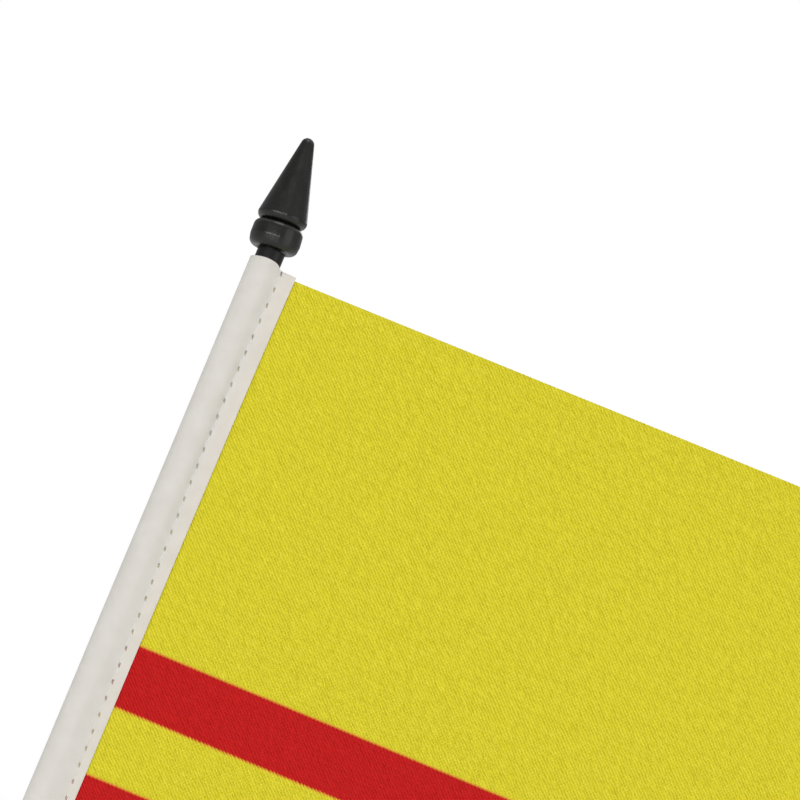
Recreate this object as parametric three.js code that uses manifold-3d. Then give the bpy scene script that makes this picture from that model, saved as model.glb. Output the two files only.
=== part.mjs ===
// Desk flag stand: a small flag on a plastic staff that plugs into a weighted round base.
// Millimetres. +Z runs up the staff, the flag flies towards +X and its front faces -Y.
// The underside of the foot pad lies at Z = 0, with the staff's axis at X = Y = 0.
import * as THREE from 'three';
import { mergeVertices } from 'three/addons/utils/BufferGeometryUtils.js';
import Module from 'manifold-3d';

const wasm = await Module();
wasm.setup();

// ---- flag ----
const HOIST = 140; // height of the cloth at the staff
const FLY = 210; // length of the flag, sleeve included
const CLOTH_T = 0.2;
const TAPE_T = 0.16;
const TAPE_STRIP = 1.75; // flat part of the sleeve beyond the staff's round
const TAPE_OVERHANG = 0.94; // tape beyond the cloth, above and below
const CLOTH_FORWARD = 0.7; // the cloth's plane, in front of the staff's axis
const TOP_EDGE_RISE_DEG = 0.45; // the cloth is cut slightly out of square
const WAVE_HEIGHT = 3.2; // sideways sway of the fly end
const WAVE_LENGTH = 125;
const WAVE_START = 0.42; // share of the fly that lies flat
const SEAM_FROM_FOLD = 0.28; // stitch line, from where the tape's legs close on the cloth
const FOLD_IN = 0.05; // the legs close this far inside the tape's round
const THREAD_W = 0.2;
const THREAD_T = 0.12;
const STITCH_END = 0.6; // stitches stop this far from the tape's ends

// ---- staff and finial ----
const STAFF_D = 3.44;
const STAFF_WALL = 0.47;
const STAFF_LENGTH = 320;
const STAFF_SHOW = 1.7; // staff standing out above the sleeve
const STAFF_EDGE = 0.12; // chamfer at the staff's ends
const FINIAL_LEAN_DEG = 3.9; // the plug sits a little crooked in the tube
const FINIAL_PIVOT = 1; // it leans about a point this deep in the tube
const SPIGOT_LENGTH = 5;
const COLLAR_D = 6.24;
const COLLAR_H = 2.95; // from the seat on the tube's mouth up to the groove
const COLLAR_SKIRT = 0.28; // rim hanging below the seat, round the tube
const COLLAR_FOOT_ROUND = 0.8;
const COLLAR_HEAD_ROUND = 0.92;
const COLLAR_FOOT_DEG = 100; // how far the collar rounds in at its foot
const COLLAR_HEAD_DEG = 70; // and at its head
const GROOVE_D = 5; // waist between the collar and the cone
const CONE_D = 6.18;
const CONE_H = 11.28;
const CONE_ROUND = 0.85;
const CONE_FOOT_DEG = 65;
const TIP_R = 0.84;

// ---- base ----
const BASE_D = 80;
const RIM_H = 5.2; // straight side of the base
const RIM_ROUND = 1.3;
const STEP_IN = 1.2; // ledge between the rim and the dome
const DOME_H = 8.2; // rise of the dome above the rim
const WALL = 2;
const RIM_WALL = 3;
const BOSS_WALL = 3.7; // round the socket's mouth
const BOSS_H = 8.7; // above the dome's crown
const BOSS_FILLET = 4;
const BOSS_ROUND = 1.2;
const SOCKET_CLEAR = 1.35; // under the socket's floor
const SOCKET_FLOOR_T = 1.6;
const SOCKET_WALL = 2.2;
const SOCKET_LEAD_IN = 0.35;
const RIB_COUNT = 6;
const RIB_T = 1.6;
const RIB_SHORT = 4.6; // rib ends this far from the cavity's wall
const PAD_INSET = 1.9; // pad to the cover's edge
const PAD_T = 1.2;
const PAD_PROUD = 0.6; // pad standing out below the rim
const COVER_T = 1.8;
const COVER_LEDGE = 2.4; // ring of the shell that the cover seats on
const BALLAST_T = 2.5;
const BALLAST_EDGE_GAP = 1.6; // ballast to the cavity wall
const EDGE = 0.4; // small chamfer on discs and on the rim's foot
const SPIGOT_EDGE = 0.2;

// ---- clearances ----
const SEAT_GAP = 0.05; // between faces that rest on each other
const SLIP_GAP = 0.06; // round the staff in its socket
const SKIRT_EASE = 0.08; // round the tube's mouth in the collar
const SLEEVE_EASE = 0.24; // round the staff in its sleeve
const COVER_GAP = 0.1; // round the cover's edge
const RIB_GAP = 0.1; // ribs to the ballast
const SPIGOT_PLAY = 0.08; // round the leaning spigot, at its closest

// ---- facets ----
const BASE_SIDES = 72;
const STAFF_SIDES = 32;
const FINIAL_SIDES = 48;
const ARC_STEPS = 6;
const DOME_STEPS = 12;
const SLEEVE_STEPS = 40;
const WAVE_STEPS = 36;
const MERGE_WITHIN = 1e-5; // vertices this close are one

// ---- sizes that follow ----
const staffR = STAFF_D / 2;
const padTopZ = PAD_T;
const coverBottomZ = padTopZ + SEAT_GAP;
const coverTopZ = coverBottomZ + COVER_T;
const ballastBottomZ = coverTopZ + SEAT_GAP;
const ballastTopZ = ballastBottomZ + BALLAST_T;
const rimBottomZ = PAD_PROUD;
const rimTopZ = rimBottomZ + RIM_H;
const baseR = BASE_D / 2;
const domeR = baseR - STEP_IN - RIM_ROUND;
const shoulderZ = rimTopZ + RIM_ROUND;
const recessR = baseR - RIM_WALL;
const cavityR = recessR - COVER_LEDGE;
const coverR = recessR - COVER_GAP;
const padR = coverR - PAD_INSET;
const ribEndR = cavityR - RIB_SHORT;
const socketR = staffR + SLIP_GAP;
const socketTubeR = socketR + SOCKET_WALL;
const socketFloorZ = coverTopZ + SOCKET_CLEAR + SOCKET_FLOOR_T;
const bossR = socketR + BOSS_WALL;
const bossTopZ = shoulderZ + DOME_H + BOSS_H;
const ballastR = cavityR - BALLAST_EDGE_GAP;
const ballastHoleR = socketTubeR + BALLAST_EDGE_GAP;
const staffBottomZ = socketFloorZ + SEAT_GAP;
const staffTopZ = staffBottomZ + STAFF_LENGTH;
const tapeTopZ = staffTopZ - STAFF_SHOW;
const tapeLength = HOIST + 2 * TAPE_OVERHANG;
const tapeBottomZ = tapeTopZ - tapeLength;
const clothBottomZ = tapeBottomZ + TAPE_OVERHANG;
const sleeveR = staffR + SLEEVE_EASE + TAPE_T / 2; // middle of the tape round the staff
const legEndX = sleeveR + TAPE_T / 2 + TAPE_STRIP;
const foldX = sleeveR + TAPE_T / 2 - FOLD_IN;
const seamX = foldX + SEAM_FROM_FOLD;
const clothY = -CLOTH_FORWARD; // middle plane of the cloth
const legOffset = CLOTH_T / 2 + SEAT_GAP + TAPE_T / 2;
const frontLegY = clothY - legOffset;
const backLegY = clothY + legOffset;
const clothStartX = foldX + SEAT_GAP;
const clothEndX = FLY - sleeveR - TAPE_T / 2;
const lean = THREE.MathUtils.degToRad(FINIAL_LEAN_DEG);
const boreR = staffR - STAFF_WALL;
const spigotR = boreR - (SPIGOT_LENGTH - FINIAL_PIVOT) * Math.sin(lean) - SPIGOT_PLAY;

// ---- helpers ----
const point = (x, y) => new THREE.Vector2(x, y);

// Points of an arc, angles in degrees, ends included.
function arc(centreX, centreY, radius, fromDeg, toDeg, steps = ARC_STEPS) {
  return Array.from({ length: steps + 1 }, (_, i) => {
    const angle = THREE.MathUtils.degToRad(fromDeg + ((toDeg - fromDeg) * i) / steps);
    return point(centreX + radius * Math.cos(angle), centreY + radius * Math.sin(angle));
  });
}

// Solid of revolution about Z from (radius, height) points.
function turned(profile, sides) {
  return new THREE.LatheGeometry(profile, sides).rotateX(Math.PI / 2);
}

// Closed outline in the XY plane, raised from one height to another.
function raised(outline, fromZ, toZ) {
  const shape = new THREE.Shape(outline);
  const geometry = new THREE.ExtrudeGeometry(shape, { depth: toZ - fromZ, bevelEnabled: false });
  return geometry.translate(0, 0, fromZ);
}

// A strip of even thickness along a middle line that is given as points with unit normals.
function strip(line, thickness) {
  const side = (sign) =>
    line.map(({ at, normal }) => at.clone().addScaledVector(normal, (sign * thickness) / 2));
  return [...side(1), ...side(-1).reverse()];
}

function toManifold(geometry) {
  const bare = geometry.clone();
  bare.deleteAttribute('normal');
  bare.deleteAttribute('uv');
  const merged = mergeVertices(bare, MERGE_WITHIN);
  const vertProperties = Float32Array.from(merged.attributes.position.array);
  const triVerts = Uint32Array.from(merged.index.array);
  return new wasm.Manifold(new wasm.Mesh({ numProp: 3, vertProperties, triVerts }));
}

function toGeometry(manifold) {
  const mesh = manifold.getMesh();
  const geometry = new THREE.BufferGeometry();
  geometry.setAttribute('position', new THREE.BufferAttribute(mesh.vertProperties, 3));
  geometry.setIndex(new THREE.BufferAttribute(mesh.triVerts, 1));
  geometry.computeVertexNormals();
  return geometry;
}

function material(color, roughness, metalness = 0) {
  return new THREE.MeshStandardMaterial({ color, roughness, metalness });
}

function part(name, geometry, finish) {
  const mesh = new THREE.Mesh(geometry, finish);
  mesh.name = name;
  return mesh;
}

// ---- materials ----
const blackPlastic = () => material(0x2e2d2c, 0.42);
const greyPlastic = () => material(0x3a3a3b, 0.6);
const steel = () => material(0x8d9196, 0.38, 1);
const foam = () => material(0x1c1c1d, 0.95);
const clothYellow = () => material(0xd5ca30, 0.8);
const tapeWhite = () => material(0xd8d4cc, 0.85);
const threadWhite = () => material(0xe6e3dc, 0.7);

// ---- base pieces ----
// Height of the dome's outer face at a radius: a shallow parabola that peaks on the axis.
function domeZ(radius) {
  return shoulderZ + DOME_H * (1 - (radius / domeR) ** 2);
}

function domeLine(fromR, toR, drop) {
  return Array.from({ length: DOME_STEPS + 1 }, (_, i) => {
    const radius = fromR + ((toR - fromR) * i) / DOME_STEPS;
    return point(radius, domeZ(radius) - drop);
  });
}

function baseShell() {
  const filletR = bossR + BOSS_FILLET;
  const filletZ = domeZ(filletR) + BOSS_FILLET;
  const profile = [
    point(0, socketFloorZ - SOCKET_FLOOR_T),
    point(socketTubeR, socketFloorZ - SOCKET_FLOOR_T),
    ...domeLine(socketTubeR, cavityR, WALL),
    point(cavityR, ballastBottomZ),
    point(recessR, ballastBottomZ),
    point(recessR, rimBottomZ),
    point(baseR - EDGE, rimBottomZ),
    point(baseR, rimBottomZ + EDGE),
    ...arc(baseR - RIM_ROUND, rimTopZ, RIM_ROUND, 0, 90),
    ...domeLine(domeR, filletR, 0),
    ...arc(filletR, filletZ, BOSS_FILLET, 270, 180).slice(1),
    ...arc(bossR - BOSS_ROUND, bossTopZ - BOSS_ROUND, BOSS_ROUND, 0, 90),
    point(socketR + SOCKET_LEAD_IN, bossTopZ),
    point(socketR, bossTopZ - SOCKET_LEAD_IN),
    point(socketR, socketFloorZ),
    point(0, socketFloorZ),
  ];
  let shell = toManifold(turned(profile, BASE_SIDES));
  const inWall = WALL / 2; // how deep a rib roots in what it joins
  const ribOutline = [
    point(ribEndR, ballastTopZ + RIB_GAP),
    ...domeLine(ribEndR, socketTubeR - inWall, WALL - inWall),
    point(socketTubeR - inWall, ballastTopZ + RIB_GAP),
  ];
  for (let i = 0; i < RIB_COUNT; i++) {
    const rib = raised(ribOutline, -RIB_T / 2, RIB_T / 2);
    rib.rotateX(Math.PI / 2).rotateZ((2 * Math.PI * (i + 0.5)) / RIB_COUNT);
    shell = shell.add(toManifold(rib));
  }
  return toGeometry(shell);
}

// Flat disc with a chamfer round both edges, and a hole where holeR is over zero.
function disc(radius, fromZ, toZ, edge, holeR = 0) {
  const rim = [
    point(holeR, fromZ),
    point(radius - edge, fromZ),
    point(radius, fromZ + edge),
    point(radius, toZ - edge),
    point(radius - edge, toZ),
    point(holeR, toZ),
  ];
  return turned(holeR > 0 ? [...rim, rim[0].clone()] : rim, BASE_SIDES);
}

// ---- staff and finial ----
function staffTube() {
  const profile = [
    point(boreR, staffBottomZ),
    point(staffR - STAFF_EDGE, staffBottomZ),
    point(staffR, staffBottomZ + STAFF_EDGE),
    point(staffR, staffTopZ - STAFF_EDGE),
    point(staffR - STAFF_EDGE, staffTopZ),
    point(boreR, staffTopZ),
    point(boreR, staffBottomZ),
  ];
  return turned(profile, STAFF_SIDES);
}

// Height 0 is the shoulder that rests on the tube's mouth.
function finialBody() {
  const coneTop = COLLAR_H + CONE_H;
  const collarR = COLLAR_D / 2;
  const coneFootR = CONE_D / 2;
  const slopeDeg = THREE.MathUtils.radToDeg(Math.atan2(coneFootR - TIP_R, CONE_H - CONE_ROUND - TIP_R));
  const profile = [
    point(0, -SPIGOT_LENGTH),
    point(spigotR - SPIGOT_EDGE, -SPIGOT_LENGTH),
    point(spigotR, -SPIGOT_LENGTH + SPIGOT_EDGE),
    point(spigotR, 0),
    point(staffR + SKIRT_EASE, 0),
    ...arc(
      collarR - COLLAR_FOOT_ROUND, COLLAR_FOOT_ROUND - COLLAR_SKIRT, COLLAR_FOOT_ROUND, -COLLAR_FOOT_DEG, 0
    ),
    ...arc(collarR - COLLAR_HEAD_ROUND, COLLAR_H - COLLAR_HEAD_ROUND, COLLAR_HEAD_ROUND, 0, COLLAR_HEAD_DEG),
    point(GROOVE_D / 2, COLLAR_H),
    ...arc(coneFootR - CONE_ROUND, COLLAR_H + CONE_ROUND, CONE_ROUND, -CONE_FOOT_DEG, slopeDeg),
    ...arc(0, coneTop - TIP_R, TIP_R, slopeDeg, 90),
  ];
  profile[profile.length - 1].x = 0;
  return turned(profile, FINIAL_SIDES);
}

// The finial leans about a point in the tube, clear of the tube's mouth.
function leaningFinial(finish) {
  const tilt = new THREE.Group();
  const seatLift = staffR * Math.sin(lean) + SEAT_GAP;
  const finial = part('finial', finialBody(), finish);
  finial.position.z = FINIAL_PIVOT;
  tilt.add(finial);
  tilt.rotation.y = -lean;
  tilt.position.z = staffTopZ + seatLift - FINIAL_PIVOT * Math.cos(lean);
  return tilt;
}

// ---- flag pieces ----
// Where a straight run from the fold meets the tape's round, above (+1) or below (-1) its point.
const touchDeg = (legY, side) =>
  THREE.MathUtils.radToDeg(Math.atan2(legY, foldX) + side * Math.acos(sleeveR / Math.hypot(foldX, legY)));

// Middle line of the tape in plan: in along the back leg, straight on to the staff's round and
// round the staff, then straight down to the fold and out along the front leg.
function sleeveLine() {
  const round = arc(0, 0, sleeveR, touchDeg(backLegY, 1), 360 + touchDeg(frontLegY, -1), SLEEVE_STEPS);
  const onRound = round.map((at) => ({ at, normal: at.clone().normalize() }));
  const fold = (legY, out, next) => {
    const bisector = point(0, out).add(next).normalize();
    return { at: point(foldX, legY), normal: bisector.divideScalar(bisector.dot(next)) };
  };
  return [
    { at: point(legEndX, backLegY), normal: point(0, 1) },
    fold(backLegY, 1, onRound[0].normal),
    ...onRound,
    fold(frontLegY, -1, onRound[onRound.length - 1].normal),
    { at: point(legEndX, frontLegY), normal: point(0, -1) },
  ];
}

// Sideways place of the cloth: flat by the staff, then a wave that grows towards the fly end.
function clothLine() {
  const waveStartX = FLY * WAVE_START;
  const place = (x) => {
    const grown = Math.max(0, (x - waveStartX) / (clothEndX - waveStartX));
    const phase = (2 * Math.PI * (x - waveStartX)) / WAVE_LENGTH;
    return clothY + WAVE_HEIGHT * grown * Math.sin(phase);
  };
  const step = (clothEndX - waveStartX) / WAVE_STEPS;
  const waved = Array.from({ length: WAVE_STEPS + 1 }, (_, i) => {
    const x = waveStartX + i * step;
    const slope = (place(x + step / 2) - place(x - step / 2)) / step;
    return { at: point(x, place(x)), normal: point(-slope, 1).normalize() };
  });
  return [{ at: point(clothStartX, clothY), normal: point(0, 1) }, ...waved];
}

function flagCloth() {
  const rise = Math.tan(THREE.MathUtils.degToRad(TOP_EDGE_RISE_DEG));
  const outOfSquare = new THREE.Matrix4().makeShear(0, rise, 0, 0, 0, 0);
  const cloth = raised(strip(clothLine(), CLOTH_T), 0, HOIST);
  return cloth.applyMatrix4(outOfSquare).translate(0, 0, clothBottomZ - rise * legEndX);
}

// One run of thread lying flat on a leg of the tape.
function threadRun(middleY) {
  const half = THREAD_W / 2;
  const line = [-half, half].map((x) => ({ at: point(seamX + x, middleY), normal: point(0, 1) }));
  return raised(strip(line, THREAD_T), tapeBottomZ + STITCH_END, tapeTopZ - STITCH_END);
}

const object = new THREE.Group();
const threadOffset = TAPE_T / 2 + SEAT_GAP + THREAD_T / 2;
object.add(
  part('foot_pad', disc(padR, 0, padTopZ, 0), foam()),
  part('base_cover', disc(coverR, coverBottomZ, coverTopZ, EDGE), greyPlastic()),
  part('ballast_plate', disc(ballastR, ballastBottomZ, ballastTopZ, EDGE, ballastHoleR), steel()),
  part('base_shell', baseShell(), blackPlastic()),
  part('staff', staffTube(), blackPlastic()),
  leaningFinial(blackPlastic()),
  part('sleeve_tape', raised(strip(sleeveLine(), TAPE_T), tapeBottomZ, tapeTopZ), tapeWhite()),
  part('flag_cloth', flagCloth(), clothYellow()),
  part('needle_thread', threadRun(frontLegY - threadOffset), threadWhite()),
  part('bobbin_thread', threadRun(backLegY + threadOffset), threadWhite()),
);

export default object;
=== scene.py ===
"""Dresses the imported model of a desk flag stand: finishes, sewn sleeve, printed cloth, studio.

Units are metres, written as millimetres times MM. The staff stands on the origin along +Z, the flag
flies towards +X and its front faces -Y. Every surface is worked out with numpy as whole arrays.
"""

import logging
import math
from dataclasses import dataclass, field
from enum import Enum

import bpy
import numpy as np
from mathutils import Matrix, Vector


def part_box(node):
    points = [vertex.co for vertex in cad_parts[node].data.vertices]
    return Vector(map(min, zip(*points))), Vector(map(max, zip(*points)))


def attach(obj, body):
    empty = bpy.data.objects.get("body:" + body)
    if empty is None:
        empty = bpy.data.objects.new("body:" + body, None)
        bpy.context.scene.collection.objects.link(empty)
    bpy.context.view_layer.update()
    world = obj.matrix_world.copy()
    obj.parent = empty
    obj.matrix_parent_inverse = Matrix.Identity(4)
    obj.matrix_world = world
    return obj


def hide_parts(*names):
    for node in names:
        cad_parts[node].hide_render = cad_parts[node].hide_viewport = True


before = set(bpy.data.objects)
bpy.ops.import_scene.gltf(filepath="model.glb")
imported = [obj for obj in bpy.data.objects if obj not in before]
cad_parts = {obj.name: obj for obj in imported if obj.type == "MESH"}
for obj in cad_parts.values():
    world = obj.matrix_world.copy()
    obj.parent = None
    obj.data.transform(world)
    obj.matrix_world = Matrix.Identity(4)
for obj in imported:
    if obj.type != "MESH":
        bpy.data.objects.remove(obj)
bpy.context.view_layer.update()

LOG = logging.getLogger("desk_flag_stand")
MM = 0.001
TURN = 2.0 * math.pi
Triple = tuple[float, float, float]
Colour = Triple
Socket = bpy.types.NodeSocket


class Body(Enum):
    """The rigid bodies that pieces ride on."""

    BASE = "base"
    STAFF = "staff"
    FINIAL = "finial"
    FLAG = "flag"


class Edge(Enum):
    """How a surface of revolution treats the two ends of its profile."""

    OPEN_ON_AXIS = "starts and ends on the axis"
    RING = "closes on itself"


# ---------------------------------------------------------------- surfaces


def arc(centre: tuple[float, float], radius: float, start: float, end: float, steps: int = 10) -> np.ndarray:
    """Points of a circular arc in the (radius, height) plane.

    Args:
        centre: the arc's centre.
        radius: the arc's radius.
        start: first angle in degrees, from the outward direction.
        end: last angle in degrees.
        steps: number of pieces the arc is cut into.

    Returns:
        Array of shape (steps + 1, 2): centre + radius * (cos a, sin a).
    """
    angle = np.radians(np.linspace(start, end, steps + 1))
    return np.column_stack([centre[0] + radius * np.cos(angle), centre[1] + radius * np.sin(angle)])


def outline(*stretches: np.ndarray | list) -> np.ndarray:
    """Stretches of (radius, height) points joined end to end."""
    return np.concatenate([np.asarray(points) for points in stretches])


def run_length(line: np.ndarray) -> np.ndarray:
    """Distance of each point of a line from its first point, measured along it."""
    return np.concatenate([[0.0], np.cumsum(np.linalg.norm(np.diff(line, axis=0), axis=1))])


def grid_faces(index: np.ndarray, wrap_rows: bool = False, wrap_columns: bool = False) -> np.ndarray:
    """Quads of a grid of vertex numbers: each joins (i, j), (i+1, j), (i+1, j+1), (i, j+1).

    Args:
        index: vertex numbers, shape (rows, columns).
        wrap_rows: joins the last row to the first.
        wrap_columns: joins the last column to the first.

    Returns:
        Array of shape (quads, 4).
    """
    if wrap_rows:
        index = np.concatenate([index, index[:1]], axis=0)
    if wrap_columns:
        index = np.concatenate([index, index[:, :1]], axis=1)
    corners = [index[:-1, :-1], index[1:, :-1], index[1:, 1:], index[:-1, 1:]]
    return np.stack(corners, axis=-1).reshape(-1, 4)


@dataclass
class Surface:
    """A mesh as arrays: points (n, 3), quads (m, 4) and, where a pattern needs it, a map (n, 2)."""

    points: np.ndarray
    quads: np.ndarray
    flat: np.ndarray | None = None

    def moved(self, matrix: Matrix) -> "Surface":
        """The same surface carried by a rigid transform."""
        turn = np.array(matrix.to_3x3())
        shift = np.array(matrix.translation)
        return Surface(self.points @ turn.T + shift, self.quads, self.flat)

    def joined(self, other: "Surface") -> "Surface":
        """Both surfaces, which have no map, as one mesh, unwelded."""
        quads = np.concatenate([self.quads, other.quads + len(self.points)])
        return Surface(np.concatenate([self.points, other.points]), quads)

    def thickened(self, normals: np.ndarray, thickness: float) -> "Surface":
        """A closed sheet: a mapped surface pushed half a thickness each way, with walls on its open edges.

        Args:
            normals: unit normals, shape (n, 3), on the side the quads face.
            thickness: the sheet's thickness.

        Returns:
            The closed sheet, outer side first.
        """
        count = len(self.points)
        half = normals * (thickness / 2.0)
        directed = np.concatenate([self.quads[:, [k, (k + 1) % 4]] for k in range(4)])
        pairs = np.sort(directed, axis=1)
        _, inverse, uses = np.unique(pairs, axis=0, return_inverse=True, return_counts=True)
        rim = directed[uses[inverse.ravel()] == 1]
        walls = np.column_stack([rim[:, 1], rim[:, 0], rim[:, 0] + count, rim[:, 1] + count])
        quads = np.concatenate([self.quads, self.quads[:, ::-1] + count, walls])
        points = np.concatenate([self.points + half, self.points - half])
        return Surface(points, quads, np.concatenate([self.flat, self.flat]))


def revolved(profile: np.ndarray, sides: int, edge: Edge = Edge.OPEN_ON_AXIS,
             swell: np.ndarray | None = None) -> Surface:
    """Surface of revolution about Z: (r cos a, r sin a, h) for each profile point (r, h) and angle a.

    Args:
        profile: (radius, height) points, going round the section with the solid on their left.
        sides: number of angles.
        edge: whether the profile ends on the axis or closes on itself.
        swell: extra radius for each angle and profile point, shape (sides, points).

    Returns:
        The surface, facing outwards, with one vertex at each pole.
    """
    angle = np.linspace(0.0, TURN, sides, endpoint=False)
    radius = np.broadcast_to(profile[:, 0], (sides, len(profile)))
    if swell is not None:
        radius = radius + swell * (profile[:, 0] > 0)
    height = np.broadcast_to(profile[:, 1], radius.shape)
    points = np.stack([radius * np.cos(angle)[:, None], radius * np.sin(angle)[:, None], height], axis=-1)
    index = np.arange(points.shape[0] * points.shape[1]).reshape(points.shape[:2])
    if edge is Edge.OPEN_ON_AXIS:
        index[:, 0] = index[0, 0]
        index[:, -1] = index[0, -1]
    quads = grid_faces(index, wrap_rows=True, wrap_columns=edge is Edge.RING)
    return Surface(points.reshape(-1, 3), quads)


def capped(rings: np.ndarray, first: np.ndarray, last: np.ndarray) -> Surface:
    """Rings of points joined into a tube, with each end closed on one middle point.

    Args:
        rings: points, shape (rings, sides, 3).
        first: middle of the first end.
        last: middle of the last end.

    Returns:
        The closed tube. Its points are the rings', with each middle point repeated as a ring of its own.
    """
    sides = rings.shape[1]
    ends = [np.broadcast_to(middle, (1, sides, 3)) for middle in (first, last)]
    points = np.concatenate([ends[0], rings, ends[1]])
    index = np.arange(len(points) * sides).reshape(-1, sides)
    index[0], index[-1] = index[0, 0], index[-1, 0]
    return Surface(points.reshape(-1, 3), grid_faces(index, wrap_columns=True))


def swept(path: np.ndarray, radius: float, sides: int = 8) -> Surface:
    """A round strand along a path that runs mostly along Z, closed by a flat cap at each end.

    Each ring is path + radius * (cos a * side + sin a * up), with side and up square to the path.

    Args:
        path: middle line, shape (n, 3).
        radius: the strand's radius.
        sides: corners of its section.

    Returns:
        The strand, with a map of (turns, length) for its twist.
    """
    along = np.gradient(path, axis=0)
    along /= np.linalg.norm(along, axis=1, keepdims=True)
    side = np.cross(along, [0.0, 1.0, 0.0])
    side /= np.linalg.norm(side, axis=1, keepdims=True)
    up = np.cross(along, side)
    angle = np.linspace(0.0, TURN, sides, endpoint=False)
    ring = np.cos(angle)[None, :, None] * side[:, None] + np.sin(angle)[None, :, None] * up[:, None]
    strand = capped(path[:, None] + radius * ring, path[0], path[-1])
    length = np.pad(run_length(path), 1, mode="edge")
    strand.flat = np.stack(np.broadcast_arrays(angle[None] / TURN, length[:, None]), axis=-1).reshape(-1, 2)
    return strand


def piece(name: str, surface: Surface, material: bpy.types.Material, body: Body, stands_for: str,
          crease: float = 35.0) -> bpy.types.Object:
    """Turns a surface into a finished piece that rides on a body in place of its plain solid.

    Quads with two corners in one, at a pole, become triangles, and unused vertices are dropped.

    Args:
        name: the piece's name.
        surface: its mesh as arrays.
        material: its finish.
        body: the body it moves with.
        stands_for: the plain solid that it replaces.
        crease: edges sharper than this many degrees stay sharp in the shading.

    Returns:
        The new object.
    """
    used, quads = np.unique(surface.quads, return_inverse=True)
    quads = quads.reshape(surface.quads.shape)
    points = surface.points[used]
    doubled = quads == np.roll(quads, -1, axis=1)
    pinched = doubled.any(axis=1)
    triangles = quads[pinched][~doubled[pinched]].reshape(-1, 3)
    corners = np.concatenate([quads[~pinched].ravel(), triangles.ravel()])
    sizes = np.concatenate([np.full((~pinched).sum(), 4), np.full(len(triangles), 3)])
    mesh = bpy.data.meshes.new(name)
    mesh.vertices.add(len(points))
    mesh.vertices.foreach_set("co", points.astype(np.float32).ravel())
    mesh.loops.add(len(corners))
    mesh.loops.foreach_set("vertex_index", corners.astype(np.int32))
    mesh.polygons.add(len(sizes))
    mesh.polygons.foreach_set("loop_start", (np.cumsum(sizes) - sizes).astype(np.int32))
    mesh.update(calc_edges=True)
    mesh.validate()
    if surface.flat is not None:
        layer = mesh.uv_layers.new(name="flat")
        layer.uv.foreach_set("vector", surface.flat[used][corners].astype(np.float32).ravel())
    mesh.shade_smooth()
    mesh.set_sharp_from_angle(angle=math.radians(crease))
    mesh.materials.append(material)
    made = bpy.data.objects.new(name, mesh)
    bpy.context.scene.collection.objects.link(made)
    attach(made, body.value)
    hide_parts(stands_for)
    LOG.info("%s: %d faces on %s", name, len(sizes), body.value)
    return made


# ---------------------------------------------------------------- finishes


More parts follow.
